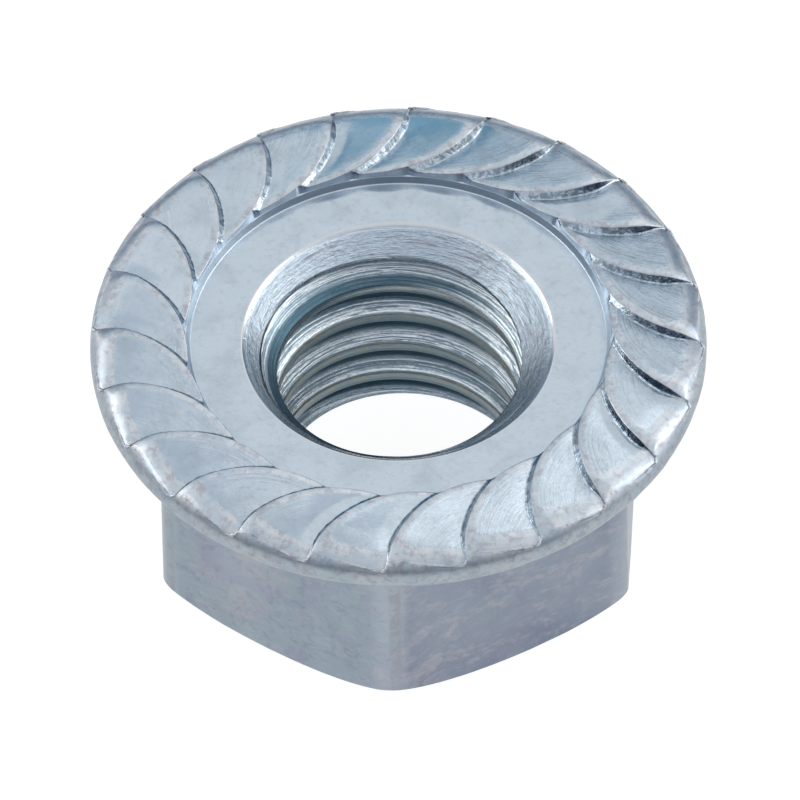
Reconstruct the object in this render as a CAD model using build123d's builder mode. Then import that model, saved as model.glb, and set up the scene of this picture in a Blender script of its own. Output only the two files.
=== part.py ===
"""Hexagon flange nut, M8 x 1.25, with a serrated locking flange.

One forged and tapped piece. The origin is the centre of the hexagon's outer end face,
+Z runs along the thread axis from the hexagon to the flange, and two corners of the
hexagon lie on the Y axis. The flange's bearing face, with its teeth, is the top.
"""
from build123d import *
from build123d.topology import SkipClean
from math import ceil, cos, radians, sin, sqrt, tan
import os

# Hexagon
across_flats = 13.0
corner_round = 0.6  # radius down each upright edge
end_face_diameter = 12.1  # flat circle left by the end chamfer
end_chamfer_angle = 15.0  # slope of the crowned end chamfer where it leaves the end face
end_chamfer_rise = 0.87  # its height where it reaches the corners

# Bore and its M8 x 1.25 thread
bore_diameter = 6.8  # across the crests
thread_diameter = 8.0  # across the roots
thread_pitch = 1.25
thread_crest = 0.3  # width of the flat left between two turns of the groove
thread_flank_angle = 30.0  # from a plane across the axis
thread_crest_drop = 0.46  # highest crest below the seat, over a corner of the hexagon
seat_countersink_diameter = 8.7
end_countersink_diameter = 8.5
countersink_angle = 45.0  # from the thread axis

# Flange
seat_height = 7.08  # plain ring round the bore, inside the teeth
flange_diameter = 17.2
rim_widest_drop = 0.2  # widest level of the rim, below the seat
rim_upper_inset = 0.15  # upper edge of the rim, in from the widest level
rim_upper_rise = 0.19  # and above the seat
rim_bevel_angle = 45.0  # rise of the bevel from there to the teeth
rim_lower_inset = 0.16  # lower edge of the rim, in from the widest level
rim_lower_drop = 0.6  # and below the seat
underside_angle = 25.0  # fall of the underside towards the hexagon
neck_chamfer = 0.18  # between the underside and the hexagon

# Teeth: each is the land of a tilted disc, and stands above the next where they overlap
tooth_count = 24
tooth_phase = 7.5  # turn of the first disc's centre, from a corner of the hexagon
tooth_inner_radius = 5.88  # where a land comes nearest to the axis
tooth_rise = 0.46  # its height there, above the seat
land_radius = 3.55
land_lean = 6.1  # fall of a land outwards
land_ramp = 5.0  # fall of a land along the turn that tightens the nut
wall_draft = 14.0  # lean of the steep walls
tip_rise = 0.8  # a level above the seat that clears every land
root_radius = 5.8  # foot of the step round the seat
root_rise = 0.2
root_width = 1.2

bore_radius = bore_diameter / 2
flange_radius = flange_diameter / 2
top_level = seat_height + tip_rise
core_radius = (bore_radius + across_flats / 2) / 2  # inside the hexagon's wall
seat_mouth = seat_countersink_diameter / 2
end_mouth = end_countersink_diameter / 2
countersink_lean = tan(radians(countersink_angle))

thread_radius = thread_diameter / 2
flank_lean = tan(radians(thread_flank_angle))
groove_clear = 0.1  # the groove's cutter starts this far inside the crests
mouth_half = (thread_pitch - thread_crest) / 2 + groove_clear * flank_lean
root_half = mouth_half - (thread_radius - bore_radius + groove_clear) * flank_lean
thread_turns = ceil(seat_height / thread_pitch) + 1
groove_start = seat_height - thread_crest_drop - thread_pitch * (thread_turns - 1.25)

rim_upper = (flange_radius - rim_upper_inset, seat_height + rim_upper_rise)
rim_widest = (flange_radius, seat_height - rim_widest_drop)
rim_lower = (flange_radius - rim_lower_inset, seat_height - rim_lower_drop)
bevel_run = (top_level - rim_upper[1]) / tan(radians(rim_bevel_angle))
bevel_top = (rim_upper[0] - bevel_run, top_level)
underside_fall = (rim_lower[0] - core_radius) * tan(radians(underside_angle))
underside_low = rim_lower[1] - underside_fall

# Flange, without teeth or bore: bevelled and crowned rim and conical underside, turned.
with BuildPart() as flange:
    with BuildSketch(Plane.XZ):
        with BuildLine():
            Polyline((0, top_level), bevel_top, rim_upper)
            TangentArc(rim_widest, rim_upper, tangent=(0, 1))
            TangentArc(rim_widest, rim_lower, tangent=(0, -1))
            Polyline(rim_lower, (core_radius, underside_low), (0, underside_low), (0, top_level))
        make_face()
    revolve(axis=Axis.Z)

# One land: a disc that falls outwards and along the turn, with drafted sides.
land_plane = Plane(origin=(tooth_inner_radius, 0, seat_height + tooth_rise))
with BuildPart() as land:
    with BuildSketch(land_plane.rotated((-land_ramp, land_lean, 0))):
        with Locations((land_radius, 0)):
            Circle(land_radius)
    extrude(amount=-(tooth_rise + rim_lower_drop), taper=-wall_draft)

# Ring of teeth: overlapping lands on a low root, trimmed to the rim and to the seat.
with BuildPart() as teeth:
    with PolarLocations(0, tooth_count, start_angle=90 + tooth_phase):
        add(land.part)
    with BuildSketch(Plane.XZ):
        with BuildLine():
            Polyline(
                (root_radius, seat_height),
                (root_radius + root_rise / 2, seat_height + root_rise),
                (root_radius + root_width, seat_height + root_rise),
                (root_radius + root_width, seat_height),
                close=True,
            )
        make_face()
    revolve(axis=Axis.Z)
    add(flange.part, mode=Mode.INTERSECT)
    split(bisect_by=Plane.XY.offset(seat_height), keep=Keep.TOP)

# A quarter of the bore, countersunk at both ends
bore_parts = 4
with BuildPart() as bore_part:
    with BuildSketch(Plane.XZ):
        with BuildLine():
            Polyline(
                (0, 0),
                (end_mouth, 0),
                (bore_radius, (end_mouth - bore_radius) / countersink_lean),
                (bore_radius, seat_height - (seat_mouth - bore_radius) / countersink_lean),
                (seat_mouth, seat_height),
                (seat_mouth, top_level),
                (0, top_level),
                close=True,
            )
        make_face()
    revolve(axis=Axis.Z, revolution_arc=360 / bore_parts)

# One turn of the thread's groove, from a little inside the bore to the root
with BuildPart() as groove:
    with BuildLine() as turn_path:
        Helix(pitch=thread_pitch, height=thread_pitch, radius=bore_radius)
    with BuildSketch(Plane.XZ):
        Polygon(
            (bore_radius - groove_clear, -mouth_half),
            (thread_radius, -root_half),
            (thread_radius, root_half),
            (bore_radius - groove_clear, mouth_half),
            align=None,
        )
    sweep(path=turn_path.line, is_frenet=True)

with BuildPart() as flange_nut:
    # Hexagon, its corners cut back at the end by a crowned chamfer
    with BuildSketch() as hexagon:
        RegularPolygon(across_flats / 2, 6, major_radius=False, rotation=30)
        fillet(hexagon.vertices(), corner_round)
    extrude(amount=rim_lower[1])
    end_edge = (end_face_diameter / 2, 0)
    corner = (across_flats / sqrt(3), end_chamfer_rise)
    chamfer_slope = radians(end_chamfer_angle)
    with BuildSketch(Plane.XZ):
        with BuildLine():
            TangentArc(end_edge, corner, tangent=(cos(chamfer_slope), sin(chamfer_slope)))
            Polyline(corner, (corner[0], seat_height), (0, seat_height), (0, 0), end_edge)
        make_face()
    revolve(axis=Axis.Z, mode=Mode.INTERSECT)

    # Flange up to the seat, eased where its underside meets the hexagon
    add(flange.part)
    split(bisect_by=Plane.XY.offset(seat_height), keep=Keep.BOTTOM)
    underside = flange_nut.faces().filter_by(GeomType.CONE).sort_by(Axis.Z)[-1]
    neck = underside.edges().filter_by_position(Axis.Z, underside_low, rim_lower[1], (False, False))
    chamfer(neck.filter_by(GeomType.LINE, reverse=True), neck_chamfer)

    # Teeth, then the bore, whose crests stay in faces a quarter turn long
    add(teeth.part)
    with SkipClean(), PolarLocations(0, bore_parts):
        add(bore_part.part, mode=Mode.SUBTRACT, clean=False)

    # Thread: one turn of its groove, repeated up the bore
    for turn in range(thread_turns):
        with SkipClean(), Locations((0, 0, groove_start + turn * thread_pitch)):
            add(groove.part, mode=Mode.SUBTRACT, clean=False)

flange_nut.part.label = "flange_nut"
os.makedirs("parts", exist_ok=True)
export_step(flange_nut.part, "parts/flange_nut.step")
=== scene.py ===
"""Serrated flange nut in bright zinc plate: its mesh, finish, stage, lamps and camera."""
from math import atan2, cos, pi, radians, sin, sqrt, tan
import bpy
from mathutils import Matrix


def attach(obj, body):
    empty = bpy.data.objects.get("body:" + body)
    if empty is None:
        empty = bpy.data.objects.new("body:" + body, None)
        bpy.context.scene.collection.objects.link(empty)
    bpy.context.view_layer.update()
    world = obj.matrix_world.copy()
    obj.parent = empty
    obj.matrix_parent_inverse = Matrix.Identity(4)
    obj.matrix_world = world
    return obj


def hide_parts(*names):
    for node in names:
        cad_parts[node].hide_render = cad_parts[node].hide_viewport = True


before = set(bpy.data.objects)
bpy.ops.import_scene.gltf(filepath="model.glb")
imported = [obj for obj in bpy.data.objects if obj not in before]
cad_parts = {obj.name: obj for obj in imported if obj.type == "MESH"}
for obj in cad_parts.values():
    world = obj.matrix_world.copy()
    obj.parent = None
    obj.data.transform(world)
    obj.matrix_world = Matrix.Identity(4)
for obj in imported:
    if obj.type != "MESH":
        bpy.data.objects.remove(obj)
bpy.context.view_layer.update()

from types import SimpleNamespace

import bmesh
import bpy
import numpy as np
from bpy.props import FloatProperty, FloatVectorProperty, IntProperty, PointerProperty
from mathutils import Matrix, Vector, noise

bl_info = {
    "name": "Serrated flange nut",
    "version": (1, 0, 0),
    "blender": (4, 5, 0),
    "location": "3D View > Sidebar > Flange nut",
    "description": "Builds a threaded hexagon nut with a serrated flange, and a stage for it",
    "category": "Add Mesh",
}

MM = 0.001
HEXAGON_CORNERS = 6
COLUMNS = 24  # round the axis, in one tooth
FOOT_POINTS, TOP_POINTS = 4, 5  # across the rounded foot and top of a wall
LAND_COLUMNS = COLUMNS - FOOT_POINTS - TOP_POINTS + 1
FOOT_CROWDING = 1.35  # how much closer the columns of a land stand at its lower side
STATIONS = (0, 0.03, 0.07, 0.12, 0.2, 0.34, 0.5, 0.64, 0.76, 0.84, 0.9, 0.95, 0.98, 1)  # along a land
SEAM = 0.0015 * MM  # how near the vertices of two sectors count as one
HOLD = 0.08 * MM  # width of the strip of each countersink that the outer skin keeps
STEP_DOWN = 0.06 * MM  # height of the strip where the bore's columns meet the skin's
ROW_FALL = 0.02 * MM  # least fall from one row of the rim to the next
MOST_TRIM = 0.45  # share of a side that one rounded corner may take
SLIVER = 0.012 * MM  # a row of the bore nearer than this to its end joins the end
BESIDE = 0.2 * MM  # how far from a wall the slope of the land beside it is read
ROUNDS = 30  # of halving or easing, where a place is found step by step
EASING = 0.8  # how much of the way each round of easing goes
LEDGE = 0.01 * MM  # least width of the ledge between the step and a land
SINK_BLEND = 0.03 * MM  # how far short of a countersink its finish begins to show
GUTTER_FULLNESS = 0.7  # below 1 the gutter keeps its depth further towards its ends
RELIEF = 0.002 * MM  # depth of one unit of the finish's fine relief
WIDE_LUMPS, FINE_LUMPS = 1100, 2600  # cells in a metre of the noise that lumps the forging
HEXAGON_LUMPS = 0.4  # depth of the hexagon's lumps beside those of the rim
WHITE = (1, 1, 1, 1)
FLOOR_REACH = 2.0  # from the axis to each side of the floor, in metres
FLOOR_LEVEL = -0.02 * MM  # just under the end face, so that the two don't share a plane
ROOM, ROOM_LEVEL = (0.75, 0.77, 0.8, 1), 0.7  # the background's light on all but the metal
BOX_AWAY, BOX_WIDTH, BOX_HEIGHT = 0.6, 0.5, 0.28  # of a soft box, in metres
BOX_LEVEL = 2.0  # radiance of a box, before the stage's own lamp level
CARD_SPANS, CARD_ROWS = 24, 8  # how finely a curved card of the stage is divided
FRAME_PIXELS = 800  # width of the picture
PIXEL = 0.0278 * MM  # what one pixel of it covers at the nut
SENSOR = 36  # width of the camera's sensor, in millimetres
CAMERA_ANGLES = (3.3, 49.4, 1.1)  # turn to the left, tilt down and roll, in degrees
CAMERA_AWAY = 30000  # from the seat to the camera, in pixels
CAMERA_SHIFT = (1.7, 58.9)  # of the camera to the right and down, in pixels
CLIP_END = 100  # furthest that the camera sees, in metres


def length(name, words, millimetres):
    size = millimetres * MM
    return FloatProperty(name=name, description=words, default=size, unit="LENGTH", precision=5)


def angle(name, words, degrees):
    return FloatProperty(name=name, description=words, default=radians(degrees), subtype="ANGLE")


def colour(name, words, rgb):
    return FloatVectorProperty(
        name=name, description=words, default=rgb, size=3, subtype="COLOR", min=0, soft_max=1
    )


def plain(name, words, value):
    return FloatProperty(name=name, description=words, default=value)


class NutSizes(bpy.types.PropertyGroup):
    """Sizes of the nut's own forms."""

    across_flats: length("Across flats", "Width of the hexagon", 13)
    corner_round: length("Corner round", "Radius down each upright edge", 0.6)
    end_face_diameter: length("End face", "Flat circle inside the end chamfer", 12.1)
    end_chamfer_angle: angle("Chamfer slope", "Slope of the chamfer beside the end face", 15)
    end_chamfer_rise: length("Chamfer rise", "Height of the chamfer at the corners", 0.87)
    seat_height: length("Seat height", "Plain ring round the bore, above the end face", 7.08)
    seat_mouth: length("Seat countersink", "Diameter of the bore's mouth at the seat", 8.7)
    end_mouth: length("End countersink", "Diameter of the bore's mouth at the end", 8.5)
    minor_diameter: length("Minor diameter", "Across the crests of the thread", 6.8)
    major_diameter: length("Major diameter", "Across the roots of the thread", 8)
    pitch: length("Pitch", "Rise of the thread in one turn", 1.25)
    crest_width: length("Crest width", "Flat along the top of the thread", 0.3)
    crest_drop: length("Crest drop", "Highest crest below the seat, at the +Y side", 0.46)
    flank_angle: angle("Flank angle", "Lean of each flank of the thread", 30)
    crest_round: length("Crest round", "Radius beside each crest of the thread", 0.05)
    thread_root_round: length("Thread root round", "Radius beside each root", 0.06)
    flange_diameter: length("Flange", "Diameter of the rim at its widest", 17.2)
    rim_widest_drop: length("Rim widest", "Widest level of the rim below the seat", 0.2)
    rim_upper_inset: length("Rim upper inset", "Upper edge of the rim, inwards", 0.15)
    rim_upper_rise: length("Rim upper rise", "Upper edge of the rim above the seat", 0.19)
    rim_lower_inset: length("Rim lower inset", "Lower edge of the rim, inwards", 0.16)
    rim_lower_drop: length("Rim lower drop", "Lower edge of the rim below the seat", 0.6)
    underside_angle: angle("Underside", "Fall of the flange's underside inwards", 25)
    neck_fillet: length("Neck fillet", "Radius between underside and hexagon", 0.3)
    tooth_count: IntProperty(
        name="Teeth", description="Ratchet teeth round the flange", default=24, min=12
    )
    tooth_inner_radius: length("Tooth inner radius", "Nearest a land comes to the axis", 5.88)
    tooth_rise: length("Tooth rise", "Height of a land there above the seat", 0.46)
    land_radius: length("Land radius", "Radius of the disc whose top is a land", 3.55)
    land_lean: angle("Land lean", "Fall of a land outwards", 6.1)
    land_ramp: angle("Land ramp", "Fall of a land along the tightening turn", 5)
    wall_lean: angle("Wall lean", "Lean of the ratchet walls between two lands", 32)
    wall_draft: angle("Wall draft", "Lean of the step inside the lands", 14)
    worn_margin: length("Worn margin", "Width of the rubbed band inside a land's edge", 0.26)
    worn_drop: length("Worn drop", "Fall of that band at the land's edge", 0.03)
    corner_ease: length("Corner ease", "Radius of a land's outer corners", 0.45)
    bevel_wear: length("Bevel wear", "How far in a land's outer edge is worn round", 0.09)
    corner_fall: plain("Corner fall", "Slope of the worn corners", 0.55)
    gutter_depth: length("Gutter depth", "Fall of a land at the foot of the next wall", 0.055)
    gutter_width: length("Gutter width", "Width of that fall", 0.55)
    lumps: length("Lumps", "Unevenness of the forged rim and bevel", 0.03)
    root_radius: length("Root radius", "Foot of the step round the seat", 5.8)
    root_rise: length("Root rise", "Height of the low ring under the teeth", 0.2)
    edge_wear: length("Edge wear", "Rounding of the worn edges", 0.05)


class NutFinish(bpy.types.PropertyGroup):
    """Colours and polish of the zinc plate, some of them painted light and shade."""

    zinc: colour("Zinc", "Bright plate on the worked faces", (0.53, 0.615, 0.695))
    cloud: colour("Cloud", "Duller clouds in the bright plate", (0.46, 0.54, 0.61))
    skin: colour("Forged skin", "Duller plate on the hexagon and the rim", (0.27, 0.33, 0.38))
    lilac: colour("Lilac tint", "Lilac patches on the hexagon", (0.27, 0.29, 0.38))
    # rose tints rosy patches, and also paints the shade in the crease at the foot of each wall
    rose_and_foot_shade: colour("Rose tint", "Rosy patches on the hexagon, the rim and by the walls", (0.37, 0.34, 0.37))
    # pale tints scuffs and smoky patches, and also paints the highlight down each rounded corner of the
    # hexagon
    pale: colour("Pale tint", "Thin pale marks on the forged skin", (0.43, 0.49, 0.53))
    worn: colour("Worn edge", "Rubbed edges of the teeth and the rim", (0.63, 0.64, 0.66))
    seam: colour("Seam", "Dark specks and scratches, where the plate is thin", (0.26, 0.26, 0.27))
    # painted light: the flank colour is brighter than the plate itself, for flanks that face up into the
    # light
    flank: colour("Flank", "Tapped flanks of the thread", (0.86, 0.93, 0.98))
    smear: colour("Smear", "Darker streaks along the thread", (0.19, 0.275, 0.33))
    # this colour is partly real stains on the crests and partly painted shade in the roots and on the
    # crests' lower halves
    thread_stain_and_shade: colour("Groove", "Roots and stains of the thread", (0.085, 0.15, 0.195))
    # shade paints the dark reflection streaked on the ratchet walls and the painted shade in a band of
    # the thread's first turn
    shade: colour("Shade", "Streaks of the walls and a band of the thread", (0.055, 0.11, 0.15))
    # painted reflection: the crest colour is dark, for upright crests that mirror the dark bore
    crest: colour("Crest", "Dull crests of the thread", (0.2, 0.245, 0.26))
    gold: colour("Gold tint", "Yellow stains on the crests", (0.3, 0.25, 0.17))
    # violet tints violet patches, and also paints the shade on the hexagon's +X side
    violet: colour("Violet tint", "Darker violet side of the hexagon", (0.165, 0.19, 0.265))
    polish: plain("Polish", "Roughness of the worked faces", 0.1)
    rubbed: plain("Rubbed", "Roughness of the worn edges", 0.34)
    forged: plain("Forged", "Roughness of the rim and its bevel", 0.46)
    dullness: plain("Dullness", "Roughness of the forged skin", 0.36)


class StageLook(bpy.types.PropertyGroup):
    """Floor, soft boxes and cards of the stage."""

    floor: colour("Floor", "Floor under the nut, without its glow", (0.24, 0.24, 0.24))
    floor_glow: plain("Floor glow", "Level of the floor as seen or mirrored", 0.92)
    lamp_level: plain("Lamp level", "Brightness of both soft boxes, as a factor", 1.0)
    dark: colour("Dark card", "Unlit side of the studio, as the metal mirrors it", (0.03, 0.05, 0.09))
    blue: colour("Blue card", "Pale blue part above that side", (0.77, 0.81, 0.88))
    upper: colour("Upper card", "Dimmer ceiling behind the nut", (0.75, 0.78, 0.83))
    dusk: colour("Dusk card", "Dimmer wall behind the nut", (0.87, 0.89, 0.91))
    core: colour("Core card", "Its darker middle", (0.29, 0.5, 0.63))
    low: colour("Low card", "Dark skirting behind the nut", (0.12, 0.2, 0.31))
    glow: colour("Glow card", "Brighter patch high at the back right", (1.5, 1.5, 1.5))


class Wire:
    """A node's output that takes part in arithmetic."""

    def __init__(self, graph, socket):
        self.graph = graph
        self.socket = socket

    def __add__(self, other):
        return self.graph.maths("ADD", self, other)

    def __sub__(self, other):
        return self.graph.maths("SUBTRACT", self, other)

    def __mul__(self, other):
        return self.graph.maths("MULTIPLY", self, other)

    def __truediv__(self, other):
        return self.graph.maths("DIVIDE", self, other)

    def __rsub__(self, other):
        return self.graph.maths("SUBTRACT", other, self)

    def __rtruediv__(self, other):
        return self.graph.maths("DIVIDE", other, self)

    __radd__ = __add__
    __rmul__ = __mul__


class Graph:
    """A node tree, filled in from Python expressions."""

    def __init__(self, tree):
        self.tree = tree

    def node(self, kind, settings, inputs, output=0):
        """Adds a node, sets its settings first and then its sockets, and gives one output."""
        made = self.tree.nodes.new(kind)
        for name, value in settings.items():
            setattr(made, name, value)
        for name, value in inputs.items():
            wires = [value] if isinstance(value, Wire) else value
            if isinstance(wires, list):
                for wire in wires:
                    self.tree.links.new(wire.socket, made.inputs[name])
            else:
                made.inputs[name].default_value = value
        return Wire(self, made.outputs[output]) if len(made.outputs) else made

    def maths(self, operation, *values):
        inputs = dict(enumerate(values))
        return self.node("ShaderNodeMath", {"operation": operation}, inputs)

    def at_most_one(self, value):
        return self.maths("MINIMUM", value, 1)

    def attribute(self, name):
        return self.node("ShaderNodeAttribute", {"attribute_name": name}, {}, "Fac")

    def smooth(self, value, low, high):
        """0 below low and 1 above high, with a soft step between."""
        settings = {"interpolation_type": "SMOOTHSTEP"}
        inputs = {"Value": value, "From Min": low, "From Max": high}
        return self.node("ShaderNodeMapRange", settings, inputs)

    def tint(self, factor, below, above):
        """Mixes two colours, each given as a colour or a wire."""
        below, above = (c if isinstance(c, Wire) else (*c, 1) for c in (below, above))
        factor_at, below_at, above_at, colour_out = 0, 6, 7, 2
        inputs = {factor_at: factor, below_at: below, above_at: above}
        return self.node("ShaderNodeMix", {"data_type": "RGBA"}, inputs, colour_out)

    def noise(self, vector, scale, detail=2, roughness=0.5, distortion=0):
        inputs = {"Vector": vector, "Scale": scale, "Detail": detail}
        inputs.update({"Roughness": roughness, "Distortion": distortion})
        return self.node("ShaderNodeTexNoise", {}, inputs)

    def vector(self, x, y, z):
        return self.node("ShaderNodeCombineXYZ", {}, {0: x, 1: y, 2: z})

    def parts(self, vector):
        return [self.node("ShaderNodeSeparateXYZ", {}, {0: vector}, at) for at in range(3)]

    def band(self, value, middle, half, soft):
        """1 where a value is within half of the middle, with soft edges."""
        return 1 - self.smooth(self.maths("ABSOLUTE", value - middle), half, half + soft)


def softened(line, rounds):
    """Points along corners that are arrays of (radius, height), each rounded by (size, points)."""
    corners = [np.stack(np.broadcast_arrays(*corner), -1) for corner in line]
    corners = np.stack(np.broadcast_arrays(*corners))
    points = []
    for at, (size, count) in enumerate(rounds):
        corner = corners[at]
        if not count:
            points.append(corner)
            continue
        back, ahead = corners[at - 1] - corner, corners[at + 1] - corner
        near = np.maximum(np.linalg.norm(back, axis=-1, keepdims=True), 1e-9)
        far = np.maximum(np.linalg.norm(ahead, axis=-1, keepdims=True), 1e-9)
        back, ahead = back / near, ahead / far
        bend = np.arccos(np.clip(-(back * ahead).sum(-1, keepdims=True), -1, 1))
        trim = np.minimum(size * np.tan(bend / 2), MOST_TRIM * np.minimum(near, far))
        for t in np.linspace(0, 1, count):
            points.append(corner + trim * ((1 - t) ** 2 * back + t**2 * ahead))
    return np.stack(points)


def arc_points(start, end, tangent, count):
    """Points on the circle that leaves start along tangent, up to end and without start."""
    start, end = np.array(start), np.array(end)
    tangent = np.array(tangent) / np.linalg.norm(tangent)
    normal = np.array([-tangent[1], tangent[0]])
    chord = end - start
    radius = chord @ chord / (2 * chord @ normal)
    centre = start + radius * normal
    first, last = start - centre, end - centre
    turn = atan2(first[0] * last[1] - first[1] * last[0], first @ last)
    turns = turn * np.arange(1, count + 1) / count
    c, s = np.cos(turns), np.sin(turns)
    across = centre[0] + c * first[0] - s * first[1]
    up = centre[1] + s * first[0] + c * first[1]
    return list(zip(across, up))


def mixed(low, high, share):
    return low + (high - low) * share


def round_points(radius, azimuth, height):
    """Cylindrical coordinates as points, one after the other."""
    points = np.stack([radius * np.cos(azimuth), radius * np.sin(azimuth), height], -1)
    return points.reshape(-1, 3)


def grid_faces(index):
    """Four-sided faces over a grid of point numbers."""
    faces = np.stack([index[:-1, :-1], index[:-1, 1:], index[1:, 1:], index[1:, :-1]], -1)
    return faces.reshape(-1, 4).tolist()


def skin_mesh(name, radius, height, azimuth, marks):
    """A mesh over a grid of cylindrical coordinates, with named marks on its points."""
    index = np.arange(radius.size).reshape(radius.shape)
    return point_mesh(name, round_points(radius, azimuth, height), grid_faces(index), marks)


def point_mesh(name, points, faces, marks):
    mesh = bpy.data.meshes.new(name)
    mesh.from_pydata(points.tolist(), [], faces)
    for mark, values in marks.items():
        layer = mesh.attributes.new(mark, "FLOAT", "POINT")
        layer.data.foreach_set("value", np.asarray(values, np.float32).ravel())
    return mesh


def disc_side(s, radius, out):
    """Azimuth, from a land's own line of centres, of its clockwise side moved outwards."""
    centre = s.tooth_inner_radius + s.land_radius
    reach = s.land_radius + out
    return -np.arccos(np.clip((centre**2 + radius**2 - reach**2) / (2 * centre * radius), -1, 1))


def outward_slope(s):
    """Fall of a land for each unit of length outwards."""
    return tan(s.land_lean) / cos(s.land_ramp)


def land_plane(s, radius, azimuth):
    """Height of an unworn land at a place given from its own line of centres."""
    x, y = radius * np.cos(azimuth), radius * np.sin(azimuth)
    top = s.seat_height + s.tooth_rise
    return top - outward_slope(s) * (x - s.tooth_inner_radius) - tan(s.land_ramp) * y


def disc_distance(s, radius, azimuth):
    """Distance from the middle of a land's own disc."""
    centre = s.tooth_inner_radius + s.land_radius
    return np.hypot(radius * np.cos(azimuth) - centre, radius * np.sin(azimuth))


def rim_corners(s):
    """Radius and height of the rim's upper edge, of its widest place and of its lower edge."""
    rim = s.flange_diameter / 2
    upper = (rim - s.rim_upper_inset, s.seat_height + s.rim_upper_rise)
    widest = (rim, s.seat_height - s.rim_widest_drop)
    lower = (rim - s.rim_lower_inset, s.seat_height - s.rim_lower_drop)
    return upper, widest, lower


def inset(s, radius, azimuth):
    """How far a place lies inside the edge of its land, whose outer corners are round."""
    aside = s.land_radius - disc_distance(s, radius, azimuth)
    upper = rim_corners(s)[0]
    bevel = upper[1] + upper[0] - radius  # it falls by 45 degrees
    below = bevel - land_plane(s, radius, azimuth) - s.bevel_wear
    near_side = np.maximum(s.corner_ease - aside, 0)
    near_bevel = np.maximum(s.corner_ease - below, 0)
    in_corner = (near_side > 0) & (near_bevel > 0)
    eased = s.corner_ease - np.hypot(near_side, near_bevel)
    return np.where(in_corner, eased, np.minimum(aside, below))


def land_level(s, radius, azimuth):
    """Height of a land, which falls a little to its rubbed edges and steeply round its corners."""
    inside = inset(s, radius, azimuth)
    rolled = np.clip(1 - inside / s.worn_margin, 0, 1) ** 2
    level = land_plane(s, radius, azimuth) - s.worn_drop * rolled
    level += s.corner_fall * np.minimum(inside, 0)
    before = land_plane(s, radius, azimuth + 2 * pi / s.tooth_count)
    return np.maximum(level, before - s.worn_drop)


def beside_wall(s, radius, azimuth):
    """Distance of a place on a land from the edge of the next land's disc."""
    return disc_distance(s, radius, azimuth - 2 * pi / s.tooth_count) - s.land_radius


def sunk_level(s, radius, azimuth):
    """Height of a land beside the next wall, whose foot lies in a shallow gutter."""
    near = np.clip(1 - beside_wall(s, radius, azimuth) / s.gutter_width, 0, 1)
    outer = rim_corners(s)[0][0]
    along = np.clip((radius - s.root_radius) / (outer - s.root_radius), 0, 1)
    fall = s.gutter_depth * np.sin(pi * along) ** GUTTER_FULLNESS
    return land_level(s, radius, azimuth) - fall * near**2 * (3 - 2 * near)


def wall_section(s, radius):
    """Azimuths and heights across the next land's wall at a radius, from foot to top."""
    tooth = 2 * pi / s.tooth_count
    high = land_level(s, radius, disc_side(s, radius, 0))
    out = 0  # the higher the wall, the further out its leaning foot
    for _ in range(3):
        low = sunk_level(s, radius, tooth + disc_side(s, radius, out))
        out = (high - low) * tan(s.wall_lean)
    low_side = sunk_level(s, radius, tooth + disc_side(s, radius, out + BESIDE))
    high_side = land_level(s, radius, disc_side(s, radius, -BESIDE))
    line = [(out + BESIDE, low_side), (out, low), (0, high), (-BESIDE, high_side)]
    rounds = [(0, 0), (s.edge_wear, FOOT_POINTS), (s.edge_wear, TOP_POINTS), (0, 0)]
    across = softened(line, rounds)[1:-1]
    return tooth + disc_side(s, radius, across[..., 0]), across[..., 1]


def inner_edge(s, azimuth):
    """Radius of a land's inner edge."""
    centre = s.tooth_inner_radius + s.land_radius
    return centre * np.cos(azimuth) - np.sqrt(s.land_radius**2 - (centre * np.sin(azimuth)) ** 2)


def on_columns(s, course, radius):
    """Azimuths and heights on each column of a tooth at a radius, by the walls at their course."""
    tooth = 2 * pi / s.tooth_count
    angles, heights = np.empty_like(course), np.empty_like(course)
    for column in range(1, COLUMNS + 1):
        wall_angles, wall_heights = wall_section(s, course[..., column])
        if column < LAND_COLUMNS:
            share = (column / LAND_COLUMNS) ** FOOT_CROWDING
            angles[..., column] = mixed(wall_angles[-1] - tooth, wall_angles[0], share)
            heights[..., column] = sunk_level(s, radius[..., column], angles[..., column])
        else:
            angles[..., column] = wall_angles[column - LAND_COLUMNS]
            shift = radius[..., column] - course[..., column]
            heights[..., column] = wall_heights[column - LAND_COLUMNS] - outward_slope(s) * shift
    angles[..., 0] = angles[..., -1] - tooth
    heights[..., 0] = heights[..., -1]
    return angles, heights


def bevel_crease(s):
    """Radius on each column at which a tooth meets the bevel, found by easing towards it."""
    upper = rim_corners(s)[0]
    crease = np.full(COLUMNS + 1, upper[0])
    for _ in range(ROUNDS):
        level = on_columns(s, crease, crease)[1]
        crease = mixed(crease, upper[0] - (level - upper[1]), EASING)
    return crease


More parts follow.
